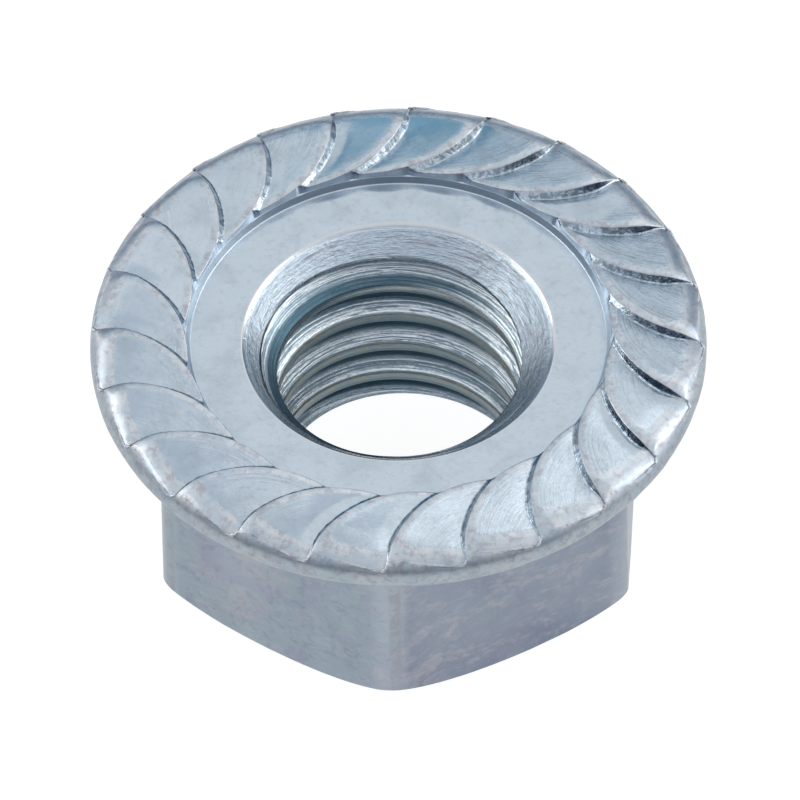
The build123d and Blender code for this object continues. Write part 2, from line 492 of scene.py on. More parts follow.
def tooth_rows(s, land):
    """Radius and height on each column, row by row from the bore's mouth to the rim, and the
    name of each row's form."""
    seat, mouth, wear = s.seat_height, s.seat_mouth / 2, s.edge_wear
    upper, widest, lower = rim_corners(s)
    step_top = seat + s.root_rise
    step = s.root_radius + s.root_rise / 2
    foot = land[0][0] - (land[0][1] - step_top) * tan(s.wall_draft)
    ledge = np.maximum(foot, step + LEDGE)
    plain_ring = [(mixed(mouth, s.root_radius, share), seat) for share in (0.22, 0.5, 0.8)]
    sharp = (0, 0)
    parts = (
        ("mouth", [(mouth - HOLD, seat - HOLD)], [sharp]),
        ("seat", [(mouth, seat), *plain_ring], [(wear, 4)] + [sharp] * len(plain_ring)),
        ("step", [(s.root_radius, seat), (step, step_top), (ledge, step_top)], [(wear, 3)] * 3),
        ("land", land[:-1], [(wear, 4)] + [sharp] * (len(land) - 2)),
        ("bevel", [land[-1]], [(wear, 4)]),
        ("rim", [upper], [sharp]),
    )
    corners = [corner for _, part, _ in parts for corner in part]
    rounds = [size for _, _, sizes in parts for size in sizes]
    names = [name for name, _, sizes in parts for _, count in sizes for _ in range(max(count, 1))]
    profile = softened(corners, rounds)
    outer = arc_points(upper, widest, (1, -1), 5)
    outer += arc_points(widest, lower, (0, -1), 4)
    names = np.array(names + ["rim"] * len(outer))
    outer = np.array(outer)[:, None, :] * np.ones((1, COLUMNS + 1, 1))
    profile = np.concatenate([profile, outer])
    radius, height = profile[..., 0], profile[..., 1]
    rim = int(np.argmax(names == "rim"))
    steps = np.arange(1, len(radius) - rim + 1)[:, None]
    height[rim:] = np.minimum(height[rim:], height[rim - 1] - steps * ROW_FALL)
    return names, radius, height


def tooth_sector(s):
    """One tooth, with its share of the seat, of the bevel and of the rim."""
    tooth = 2 * pi / s.tooth_count
    cusp = inner_edge(s, tooth / 2)
    crease = bevel_crease(s)
    cusps = np.full(COLUMNS + 1, cusp)
    start_angle = on_columns(s, cusps, cusps)[0]
    start = inner_edge(s, np.minimum(np.abs(start_angle), np.abs(tooth - start_angle)))
    land = []
    for share in STATIONS:
        radius = mixed(start, crease, share)
        land.append((radius, on_columns(s, mixed(cusp, crease, share), radius)[1]))
    names, radius, height = tooth_rows(s, land)

    # the columns follow the walls on the land, and run straight over the seat and the rim
    share = np.clip((radius - start) / (crease - start), 0, 1)
    course = mixed(cusp, crease, share)
    azimuth = on_columns(s, course, course)[0]
    even = tooth * (np.arange(COLUMNS + 1) / COLUMNS - 0.5)
    mouth = s.seat_mouth / 2
    inner = np.clip((radius - mouth) / (s.root_radius - mouth), 0, 1)
    seat_rows = np.isin(names, ("mouth", "seat"))[:, None]
    azimuth = mixed(even, azimuth, np.where(seat_rows, inner, 1))
    rows = np.arange(len(radius))[:, None]
    crease_row = int(np.argmax(names == "bevel")) + 2
    let_go = np.clip((rows - crease_row) / np.count_nonzero(names == "rim"), 0, 1)
    azimuth = mixed(azimuth, even - tooth, let_go)
    return skin_mesh("tooth sector", radius, height, azimuth, tooth_marks(s, names, radius, azimuth))


def tooth_marks(s, names, radius, azimuth):
    """What the finish reads on a tooth: its forms, and distances from edges and arcs."""
    columns = np.arange(COLUMNS + 1)
    marks = {}
    for name in ("step", "land", "bevel", "rim"):
        marks[name] = (names == name)[:, None] * np.ones(COLUMNS + 1)
    # the wall's mark rises over the columns of its foot and falls over those of its top
    turning = [LAND_COLUMNS, LAND_COLUMNS + 1.5, COLUMNS - TOP_POINTS + 0.5, COLUMNS - 2]
    marks["wall"] = np.interp(columns, turning, [0, 1, 1, 0]) * marks["land"]
    own = np.where(columns < LAND_COLUMNS + FOOT_POINTS, 0, 2 * pi / s.tooth_count)
    marks["arc"] = disc_distance(s, radius, azimuth - own)
    marks["inset"] = inset(s, radius, azimuth - own)
    marks["foot"] = np.abs(beside_wall(s, radius, azimuth))
    return marks


def hexagon_radius(s, azimuth):
    """Radius of the hexagon's upright faces, with azimuth 0 in the middle of a round corner."""
    turn = pi / HEXAGON_CORNERS
    apothem = s.across_flats / 2
    middle = (apothem - s.corner_round) / cos(turn)
    meets = atan2(s.corner_round * sin(turn), middle + s.corner_round * cos(turn))
    aside = middle * np.sin(azimuth)
    rounded = middle * np.cos(azimuth) + np.sqrt(np.maximum(s.corner_round**2 - aside**2, 0))
    return np.where(np.abs(azimuth) < meets, rounded, apothem / np.cos(turn - np.abs(azimuth)))


def chamfer_height(s, radius):
    """Height of the end chamfer, an arc that rises from the end face to the hexagon's corners."""
    edge = np.array([s.end_face_diameter / 2, 0])
    corner = np.array([s.across_flats / sqrt(3), s.end_chamfer_rise])
    up = np.array([-sin(s.end_chamfer_angle), cos(s.end_chamfer_angle)])
    chord = corner - edge
    crown = chord @ chord / (2 * chord @ up)
    hub = edge + crown * up
    return hub[1] - np.sqrt(crown**2 - (radius - hub[0]) ** 2)


def hexagon_sector(s):
    """One corner of the hexagon, with its share of the underside and of the end."""
    half = pi / HEXAGON_CORNERS
    across = np.linspace(-1, 1, s.tooth_count * COLUMNS // HEXAGON_CORNERS + 1)
    crowded = half * (0.5 * across + 0.5 * across**3)  # closer together at the corner
    side = hexagon_radius(s, crowded)
    ends = chamfer_height(s, side)
    rim = rim_corners(s)[2]
    neck = rim[1] - (rim[0] - side) * tan(s.underside_angle)
    edge, mouth = s.end_face_diameter / 2, s.end_mouth / 2
    chamfer = [mixed(side, edge, share) for share in (0.25, 0.5, 0.75)]
    between = (0.35, 0.65)
    wear, sharp = (2 * s.edge_wear, 4), (0, 0)
    parts = (
        ([rim], [sharp]),
        ([(mixed(rim[0], side, share), mixed(rim[1], neck, share)) for share in between], [sharp] * 2),
        ([(side, neck)], [(s.neck_fillet, 6)]),
        ([(side, mixed(neck, ends, share)) for share in between], [sharp] * 2),
        ([(side, ends)], [wear]),
        ([(radius, chamfer_height(s, radius)) for radius in chamfer], [sharp] * 3),
        ([(edge, 0), (mixed(edge, mouth, 0.5), 0)], [(2 * s.edge_wear, 3), sharp]),
        ([(mouth, 0), (mouth - HOLD, HOLD)], [wear, sharp]),
    )
    corners = [corner for part, _ in parts for corner in part]
    rounds = [size for _, sizes in parts for size in sizes]
    profile = softened(corners, rounds)
    radius, height = profile[..., 0], profile[..., 1]

    # the columns stand evenly along the rim and in the end face, and crowded on the hexagon
    first = [0] + [int(row) for row in np.cumsum([max(count, 1) for _, count in rounds])]
    neck_row, low_row, edge_row = first[3], first[7] - 1, first[10]
    rows = np.arange(len(radius))[:, None]
    hold = np.interp(rows, [0, neck_row, low_row, edge_row], [0, 1, 1, 0])
    azimuth = mixed(half * across, crowded, hold)
    marks = {"hexagon": (rows >= neck_row) & (radius > 0)}
    marks["under"] = (rows <= neck_row) & (radius > 0)
    return skin_mesh("hexagon sector", radius, height, azimuth, marks)


def thread_profile(s):
    """Heights and radii of the thread over one pitch, from the middle of a crest."""
    low, high = s.minor_diameter / 2, s.major_diameter / 2
    crest = s.crest_width / 2
    root = crest + (high - low) * tan(s.flank_angle)
    flank = (mixed(crest, root, 0.5), mixed(low, high, 0.5))
    line = [(0, low), (crest, low), flank, (root, high), (s.pitch / 2, high)]
    sharp = (0, 0)
    half = softened(line, [sharp, (s.crest_round, 4), sharp, (s.thread_root_round, 4), sharp])
    quarters = [mixed(half[4], half[5], 0.5), mixed(half[5], half[6], 0.5)]
    half = np.insert(half, [5, 6], quarters, axis=0)
    falling = half[1:-1][::-1] * [-1, 1] + [s.pitch, 0]
    return np.concatenate([half, falling])


def bore_grid(s, count):
    """Radius and height of the bore between its two end strips, on columns round the axis and
    rows that follow the helix, and how far each point lies in a countersink."""
    profile = thread_profile(s)
    top = s.seat_height - HOLD - STEP_DOWN
    bottom = HOLD + STEP_DOWN
    crest = s.seat_height - s.crest_drop - s.pitch / 4
    lift = crest + s.pitch * np.arange(count + 1) / count
    first = int(np.floor((bottom - lift[-1]) / s.pitch)) - 1
    last = int(np.ceil((top - lift[0]) / s.pitch)) + 1
    base = np.concatenate([profile[:, 0] + s.pitch * turn for turn in range(first, last)])
    wrapped = np.concatenate([profile, profile[:1] + [s.pitch, 0]])

    def thread(height):
        return np.interp((height - lift) % s.pitch, wrapped[:, 0], wrapped[:, 1])

    def cone(height):
        return np.maximum(s.seat_mouth / 2 - s.seat_height + height, s.end_mouth / 2 - height)

    height = base[:, None] + lift
    height = np.where(height > top - SLIVER, top, height)
    height = np.where(height < bottom + SLIVER, bottom, height)

    # where the thread runs out into a countersink, the nearer row moves to the very place
    low, high = height[:-1].copy(), height[1:].copy()
    before = cone(low) - thread(low)
    crossed = (before * (cone(high) - thread(high)) < 0) & (high > low)
    below, above = low, high
    for _ in range(ROUNDS):
        middle = (below + above) / 2
        same = (cone(middle) - thread(middle)) * before > 0
        below, above = np.where(same, middle, below), np.where(same, above, middle)
    for row, column in zip(*np.nonzero(crossed)):
        place = below[row, column]
        nearer_low = place - low[row, column] < high[row, column] - place
        chosen = row if nearer_low else row + 1
        if bottom < height[chosen, column] < top:
            height[chosen, column] = place
    radius = np.maximum(thread(height), cone(height))
    return radius, height, np.clip((cone(height) - thread(height)) / SINK_BLEND + 1, 0, 1)


def bore_mesh(s):
    """The threaded bore, with a strip at each end that takes up the skin's finer columns."""
    fine = s.tooth_count * COLUMNS
    count = fine // 2
    radius, height, sunk = bore_grid(s, count)
    low, high = s.minor_diameter / 2, s.major_diameter / 2
    azimuth = 2 * pi * np.arange(count + 1) / count * np.ones_like(height)
    points = round_points(radius, azimuth, height)
    index = np.arange(height.size).reshape(height.shape)
    faces = grid_faces(index)
    depths, cones = [np.clip((radius - low) / (high - low), 0, 1).ravel()], [sunk.ravel()]
    ring = 2 * pi * np.arange(fine + 1) / fine
    strips = (
        (index[-1], s.seat_mouth / 2 - HOLD, s.seat_height - HOLD),
        (index[0], s.end_mouth / 2 - HOLD, HOLD),
    )
    for coarse, mouth, level in strips:
        start = len(points)
        points = np.concatenate([points, round_points(mouth, ring, np.full(fine + 1, level))])
        depths.append(np.ones(fine + 1))
        cones.append(np.ones(fine + 1))
        for j in range(count):
            near, far = int(coarse[j]), int(coarse[j + 1])
            one, two, three = range(start + 2 * j, start + 2 * j + 3)
            faces += [[near, far, two], [near, two, one], [far, three, two]]
    marks = {"depth": np.concatenate(depths), "countersink": np.concatenate(cones)}
    marks["thread"] = np.ones(len(points))
    return point_mesh("threaded bore", points, faces, marks)


def nut_tree():
    """Geometry Nodes that turn one tooth and one corner round the axis and join the bore."""
    tree = bpy.data.node_groups.new("Flange nut from sectors", "GeometryNodeTree")
    tree.is_modifier = True
    sockets = (
        ("Tooth sector", "NodeSocketObject", None),
        ("Teeth", "NodeSocketInt", 24),
        ("First tooth", "NodeSocketFloat", 0.0),
        ("Hexagon sector", "NodeSocketObject", None),
        ("Corners", "NodeSocketInt", HEXAGON_CORNERS),
        ("First corner", "NodeSocketFloat", 0.0),
        ("Threaded bore", "NodeSocketObject", None),
        ("Seam distance", "NodeSocketFloat", SEAM),
        ("Finish", "NodeSocketMaterial", None),
    )
    tree.interface.new_socket("Geometry", in_out="INPUT", socket_type="NodeSocketGeometry")
    for name, kind, value in sockets:
        socket = tree.interface.new_socket(name, in_out="INPUT", socket_type=kind)
        if value is not None:
            socket.default_value = value
    tree.interface.new_socket("Geometry", in_out="OUTPUT", socket_type="NodeSocketGeometry")
    graph = Graph(tree)

    def given(name):
        return graph.node("NodeGroupInput", {}, {}, name)

    def turned(sector, count, first):
        shape = graph.node("GeometryNodeObjectInfo", {}, {"Object": given(sector)}, "Geometry")
        points = graph.node("GeometryNodePoints", {}, {"Count": given(count)})
        index = graph.node("GeometryNodeInputIndex", {}, {})
        turn = index * (2 * pi) / given(count) + given(first)
        inputs = {"Points": points, "Instance": shape, "Rotation": graph.vector(0, 0, turn)}
        return graph.node("GeometryNodeInstanceOnPoints", {}, inputs)

    teeth = turned("Tooth sector", "Teeth", "First tooth")
    corners = turned("Hexagon sector", "Corners", "First corner")
    bore = graph.node("GeometryNodeObjectInfo", {}, {"Object": given("Threaded bore")}, "Geometry")
    shape = graph.node("GeometryNodeJoinGeometry", {}, {"Geometry": [bore, corners, teeth]})
    shape = graph.node("GeometryNodeRealizeInstances", {}, {"Geometry": shape})
    seam = {"Geometry": shape, "Distance": given("Seam distance")}
    shape = graph.node("GeometryNodeMergeByDistance", {}, seam)
    finish = {"Geometry": shape, "Material": given("Finish")}
    shape = graph.node("GeometryNodeSetMaterial", {}, finish)
    graph.node("NodeGroupOutput", {}, {0: shape})
    return tree


def set_modifier_inputs(modifier, values):
    for item in modifier.node_group.interface.items_tree:
        if item.item_type == "SOCKET" and item.in_out == "INPUT" and item.name in values:
            modifier[item.identifier] = values[item.name]


def face_weighted_normals(mesh):
    """Smooth shading in which the large faces stay flat beside their rounded edges."""
    mesh.shade_smooth()
    count = len(mesh.polygons)
    normals, areas = np.empty(count * 3), np.empty(count)
    mesh.polygons.foreach_get("normal", normals)
    mesh.polygons.foreach_get("area", areas)
    totals = np.empty(count, np.int32)
    mesh.polygons.foreach_get("loop_total", totals)
    corners = np.empty(len(mesh.loops), np.int32)
    mesh.loops.foreach_get("vertex_index", corners)
    weighted = np.repeat(normals.reshape(-1, 3) * areas[:, None], totals, axis=0)
    summed = np.stack([np.bincount(corners, weighted[:, k], len(mesh.vertices)) for k in range(3)], 1)
    summed /= np.maximum(np.linalg.norm(summed, axis=1, keepdims=True), 1e-12)
    mesh.normals_split_custom_set_from_vertices(summed.tolist())


def shared_patterns(graph, s):
    """Places, masks and noises of the plate; a noise's scale counts its cells in a metre."""
    here = SimpleNamespace()
    here.place = graph.node("ShaderNodeTexCoord", {}, {}, "Object")
    here.x, here.y, here.z = x, y, z = graph.parts(here.place)
    here.turn = graph.maths("ARCTAN2", y, x)
    here.radius = graph.maths("SQRT", x * x + y * y)
    marks = ("step", "land", "wall", "bevel", "rim", "hexagon", "under", "thread")
    for name in (*marks, "depth", "countersink", "arc", "inset", "foot"):
        setattr(here, name, graph.attribute(name))
    here.forged = graph.at_most_one(here.bevel + here.rim)
    here.upright = graph.at_most_one(here.hexagon + here.under)
    here.worked = here.land * (1 - here.wall)
    here.threaded = here.thread * (1 - here.countersink)

    here.broad = graph.noise(here.place, 260, 3)
    here.cloud = graph.noise(here.place, 900, 4, 0.6)
    here.grain = graph.noise(here.place, 5200, 4, 0.65)
    here.fine = graph.noise(here.place, 16000, 3, 0.7)
    here.crust = graph.noise(here.place, 2700, 6, 0.75, 0.8)
    here.edge = here.inset + (here.grain - 0.5) * (0.22 * MM) + (here.cloud - 0.5) * (0.2 * MM)
    here.rubbed = (1 - graph.smooth(here.edge, 0.13 * MM, 0.24 * MM)) * here.worked
    here.lines = graph.noise(graph.vector(here.arc * 15000, here.broad * 5, here.cloud * 1.2), 1, 4, 0.8)
    cut = graph.smooth(graph.noise(here.place, 330, 2) + x * 14 - y * 7, 0.36, 0.62)
    here.cut = cut * here.worked * (1 - here.rubbed)
    here.streaks = graph.noise(graph.vector(x * 5000, y * 5000, z * 1600), 1, 4, 0.75)
    here.spin = z * (2 * pi / s.pitch) - here.turn
    spiral = [graph.maths(way, here.spin) * 8 for way in ("COSINE", "SINE")]
    helix = graph.vector(spiral[0] + here.broad * 2, spiral[1] + here.cloud * 2, z * 900)
    here.smear = graph.noise(helix, 1, 6, 0.8)
    ring = [graph.maths(way, here.turn) * 4 for way in ("COSINE", "SINE")]
    here.chatter = graph.noise(graph.vector(*ring, z * 22000), 1, 6, 0.8, 0.5)
    return here


def worked_colour(graph, here, finish):
    """Clouds, rubbed bands inside each land's edge, machining lines, painted shade in the crease at the
    foot of each wall and painted dark reflection streaked on the walls.
    """
    base = graph.tint(graph.smooth(here.cloud, 0.42, 0.7), finish.zinc, finish.cloud)
    base = graph.tint(graph.smooth(here.grain, 0.5, 0.66) * 0.14, base, finish.seam)
    blotch = graph.smooth(graph.noise(here.place, 1500, 5, 0.7, 0.6), 0.4, 0.62)
    mottle = graph.tint(blotch, finish.worn, finish.cloud)
    stain = graph.smooth(graph.noise(here.place, 3600, 5, 0.75), 0.48, 0.62)
    mottle = graph.tint(stain * 0.85, mottle, finish.rose_and_foot_shade)
    base = graph.tint(graph.at_most_one(here.rubbed * 0.7 + here.forged), base, mottle)
    fallen = (1 - graph.smooth(here.edge, -0.04 * MM, 0.08 * MM)) * here.worked
    base = graph.tint(here.rim * 0.6 + fallen * 0.25, base, finish.skin)
    base = graph.tint(graph.smooth(here.grain, 0.52, 0.62) * here.forged * 0.3, base, finish.seam)
    base = graph.tint(graph.smooth(here.lines, 0.5, 0.66) * here.cut * 0.35, base, finish.seam)
    # painted shade: the land is darkened towards the rose tint in the crease at the foot of the next
    # wall, where shade falls
    foot = here.foot + (here.grain - 0.5) * (0.2 * MM)
    foot_shade = (1 - graph.smooth(foot, 0.03 * MM, 0.14 * MM)) * here.worked
    base = graph.tint(foot_shade * 0.5, base, finish.rose_and_foot_shade)
    # painted reflection: the ratchet walls are streaked with the dark shade colour, standing for the dark
    # studio they mirror
    return graph.tint(graph.smooth(here.streaks, 0.42, 0.58) * here.wall * 0.7, base, finish.shade)


def skin_colour(graph, here, finish):
    """Dull plate of the hexagon: lilac, rosy and smoky patches, scuffs, painted shade on its +X side and
    painted highlights down its rounded corners.
    """
    x, y, z = here.x, here.y, here.z
    patch = graph.noise(here.place, 420, 5, 0.62, 0.4)
    skin = graph.tint(graph.smooth(patch, 0.44, 0.6) * 0.8, finish.skin, finish.lilac)
    # painted shade: the hexagon's faces on the +X side are tinted darker violet, for the side that gets
    # less light
    skin = graph.tint(graph.smooth(x, 0, 0.7 * MM) * 0.8, skin, finish.violet)
    reddish = graph.noise(graph.vector(x * 380, y * 380, z * 700), 1, 6, 0.75, 0.7)
    skin = graph.tint(graph.smooth(reddish + here.crust * 0.3, 0.66, 0.8) * 0.5, skin, finish.rose_and_foot_shade)
    slanted = graph.vector(x * 1100 + z * 900, y * 1100 + z * 500, z * 3000 - x * 900)
    scuffs = graph.noise(slanted, 1, 6, 0.75, 0.6)
    skin = graph.tint(graph.smooth(scuffs + here.crust * 0.5, 0.7, 1) * 0.24, skin, finish.pale)
    skin = graph.tint(graph.smooth(1 - here.crust, 0.5, 0.66) * 0.4, skin, finish.violet)
    smoke = graph.smooth(graph.noise(here.place, 180, 3, 0.5), 0.46, 0.62)
    skin = graph.tint(smoke * 0.25, skin, finish.pale)
    # painted highlight: a pale band down each rounded corner of the hexagon
    corner = 0 - graph.maths("COSINE", here.turn * HEXAGON_CORNERS)
    skin = graph.tint(graph.smooth(corner, 0.88, 1) * 0.3, skin, finish.pale)
    ridge = 0 - graph.maths("COSINE", here.turn * HEXAGON_CORNERS - 0.15)
    ridge = graph.smooth(ridge, 0.985, 0.998) * graph.smooth(here.crust, 0.42, 0.56)
    return graph.tint(ridge * 0.6, skin, finish.seam)


def bore_colour(graph, here, finish, s):
    """Smeared flanks in a bright colour of painted light, crests in a dark colour of painted reflection
    with yellow stains, painted shade in the roots, on the crests' lower halves and in a band of the first
    turn, and the countersinks.
    """
    flank = graph.tint(graph.smooth(here.smear, 0.45, 0.54) * 0.95, finish.flank, finish.smear)
    stains = graph.smooth(graph.noise(here.place, 2300, 5, 0.75), 0.46, 0.62)
    stains = stains * graph.smooth(here.smear, 0.42, 0.56)
    crest = graph.tint(stains, finish.crest, finish.gold)
    crest = graph.tint(graph.smooth(here.smear, 0.5, 0.58) * 0.6, crest, finish.thread_stain_and_shade)
    # painted light: the crests of the top turn, nearest the mouth, are mixed towards the bright flank
    # colour
    crest = graph.tint(graph.smooth(here.z, 5.16 * MM, 5.26 * MM) * 0.3, crest, finish.flank)
    # painted shade: the lower half of each crest, turned away from the light, is darkened
    middle = (s.seat_height - s.crest_drop - s.pitch / 4) * (2 * pi / s.pitch)
    upper_half = graph.smooth(graph.maths("SINE", here.spin - middle), -0.35, 0)
    crest = graph.tint((1 - upper_half) * 0.8, crest, finish.thread_stain_and_shade)
    off_crest = graph.smooth(here.depth + (here.smear - 0.5) * 0.12, 0.03, 0.12)
    bore = graph.tint(off_crest, crest, flank)
    first_turn = graph.smooth(here.z, 5.4 * MM, 5.56 * MM)
    # painted shade: the roots, deep between the crests, are darkened below the first turn
    roots = graph.smooth(here.depth, 0.52, 0.8) * (1 - first_turn)
    bore = graph.tint(roots, bore, finish.thread_stain_and_shade)
    # painted shade: a dark band on the flank beside the crests of the first turn
    band = graph.band(here.depth, 0.2, 0.2, 0.12) * first_turn
    bore = graph.tint(band * (0.6 + here.smear * 0.7), bore, finish.shade)
    sunk = graph.tint(graph.smooth(here.chatter, 0.52, 0.64) * 0.75, finish.zinc, finish.seam)
    return graph.tint(here.countersink, bore, sunk)


def plate_roughness(graph, here, finish):
    """Polished worked faces, and duller ones where the plate is worn, forged or tapped."""
    dull = graph.at_most_one(here.rubbed + here.forged + here.upright + here.step)
    rough = (1 - dull) * finish.polish + dull * finish.rubbed
    rough = rough + here.upright * (finish.dullness - finish.rubbed) + (here.grain - 0.5) * 0.1
    return rough + here.forged * (finish.forged - finish.rubbed) + here.thread * 0.1


def plate_relief(graph, here):
    """Heights of the marks that are too small to be modelled, in units of RELIEF."""
    forged, upright = here.forged, here.upright
    relief = here.lines * here.cut * 7 + here.fine * 0.35
    relief = relief + here.grain * (0.8 + upright * 2.5 + forged * 4 + here.rubbed * 3)
    relief = relief + here.cloud * (1 + forged * 9 + upright * 4) + here.crust * upright * 3
    relief = relief + here.streaks * here.wall * 8 + here.smear * here.threaded * 9
    foil = graph.noise(graph.vector(here.x * 4000, here.y * 4000, here.z * 6000), 1, 3, 0.6, 0.5)
    return relief + (here.chatter * 12 + foil * 14) * here.countersink


def zinc_plate(finish, s):
    """Bright zinc with machining lines, worn edges, dull patches, painted shade and highlights on the
    hexagon and walls, and a darker thread whose bands carry painted light and shade.
    """
    material = bpy.data.materials.new("zinc plate")
    material.use_nodes = True
    material.node_tree.nodes.clear()
    graph = Graph(material.node_tree)
    here = shared_patterns(graph, s)
    base = graph.tint(here.upright, worked_colour(graph, here, finish), skin_colour(graph, here, finish))
    base = graph.tint(here.thread, base, bore_colour(graph, here, finish, s))
    near_mouth = graph.band(here.radius, s.seat_mouth / 2, 0.02 * MM, 0.05 * MM)
    lip = near_mouth * graph.smooth(here.z, 6 * MM, 7 * MM)
    base = graph.tint(lip * 0.8, base, finish.worn)
    heights = {"Strength": 1.0, "Distance": RELIEF, "Height": plate_relief(graph, here)}
    inputs = {"Base Color": base, "Metallic": 1.0, "Roughness": plate_roughness(graph, here, finish)}
    inputs["Normal"] = graph.node("ShaderNodeBump", {}, heights)
    shader = graph.node("ShaderNodeBsdfPrincipled", {}, inputs)
    graph.node("ShaderNodeOutputMaterial", {}, {"Surface": shader})
    return material


def plain_material(name, surface):
    material = bpy.data.materials.new(name)
    material.use_nodes = True
    material.node_tree.nodes.clear()
    graph = Graph(material.node_tree)
    graph.node("ShaderNodeOutputMaterial", {}, {"Surface": surface(graph)})
    return material


def seen_directly_or_mirrored(graph):
    """1 for rays from the camera, off a mirror or through glass, and 0 for the rest."""
    kinds = ("Is Camera Ray", "Is Glossy Ray", "Is Transmission Ray")
    direct, mirrored, through = [graph.node("ShaderNodeLightPath", {}, {}, kind) for kind in kinds]
    return graph.maths("MAXIMUM", graph.maths("MAXIMUM", direct, mirrored), through)


def link_object(name, data):
    made = bpy.data.objects.new(name, data)
    bpy.context.scene.collection.objects.link(made)
    return made


def direction(azimuth, elevation):
    a, e = radians(azimuth), radians(elevation)
    return Vector((cos(e) * cos(a), cos(e) * sin(a), sin(e)))


def facing(place, target):
    """A frame at place whose -Z looks at target, with +Y up."""
    ahead = (target - place).normalized()
    right = ahead.cross(Vector((0, 0, 1))).normalized()
    up = right.cross(ahead)
    turn = Matrix((right, up, -ahead)).transposed().to_4x4()
    return Matrix.Translation(place) @ turn


class FLANGENUT_OT_build_nut(bpy.types.Operator):
    """Builds the nut as one closed skin and puts it in the place of the plain solid"""

    bl_idname = "flange_nut.build_nut"
    bl_label = "Build flange nut"

    def execute(self, context):
        s, finish = context.scene.nut_sizes, context.scene.nut_finish
        sectors = {
            "Tooth sector": tooth_sector(s),
            "Hexagon sector": hexagon_sector(s),
            "Threaded bore": bore_mesh(s),
        }
        helpers = {name: link_object(name, mesh) for name, mesh in sectors.items()}
        nut = link_object("zinc_flange_nut", bpy.data.meshes.new("zinc_flange_nut"))
        modifier = nut.modifiers.new("Sectors", "NODES")
        modifier.node_group = nut_tree()
        values = dict(helpers)
        values["Teeth"] = s.tooth_count
        values["First tooth"] = pi / 2 + pi / s.tooth_count
        values["Corners"] = HEXAGON_CORNERS
        values["First corner"] = pi / HEXAGON_CORNERS
        values["Seam distance"] = SEAM
        values["Finish"] = zinc_plate(finish, s)
        set_modifier_inputs(modifier, values)
        graph = context.evaluated_depsgraph_get()
        mesh = bpy.data.meshes.new_from_object(nut.evaluated_get(graph), depsgraph=graph)
        nut.modifiers.clear()
        nut.data = mesh
        for helper in helpers.values():
            bpy.data.objects.remove(helper)
        turn_outwards(mesh)
        forge_marks(mesh, s)
        face_weighted_normals(mesh)
        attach(nut, "root")
        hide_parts("flange_nut")
        return {"FINISHED"}


def turn_outwards(mesh):
    """Gives every face the same side out, once the skin is known to be closed."""
    edit = bmesh.new()
    edit.from_mesh(mesh)
    if any(len(edge.link_faces) != 2 for edge in edit.edges):
        raise ValueError("the skin of the nut is not closed")
    bmesh.ops.recalc_face_normals(edit, faces=edit.faces)
    if edit.calc_volume(signed=True) < 0:
        bmesh.ops.reverse_faces(edit, faces=edit.faces)
    edit.to_mesh(mesh)
    edit.free()


def forge_marks(mesh, s):
    """Sinks the rim and the bevel in soft, uneven lumps, at most one and a half times s.lumps
    deep, and the hexagon in shallower ones."""
    names = ("rim", "bevel", "hexagon")
    marks = [[mark.value for mark in mesh.attributes[name].data] for name in names]
    normals = [vertex.normal.copy() for vertex in mesh.vertices]
    for vertex, normal, rim, bevel, hexagon in zip(mesh.vertices, normals, *marks):
        share = min(rim + bevel + HEXAGON_LUMPS * hexagon, 1)
        if share:
            lump = noise.noise(vertex.co * WIDE_LUMPS) + 0.5 * noise.noise(vertex.co * FINE_LUMPS)
            vertex.co -= normal * (s.lumps * share * (0.75 + 0.5 * lump))


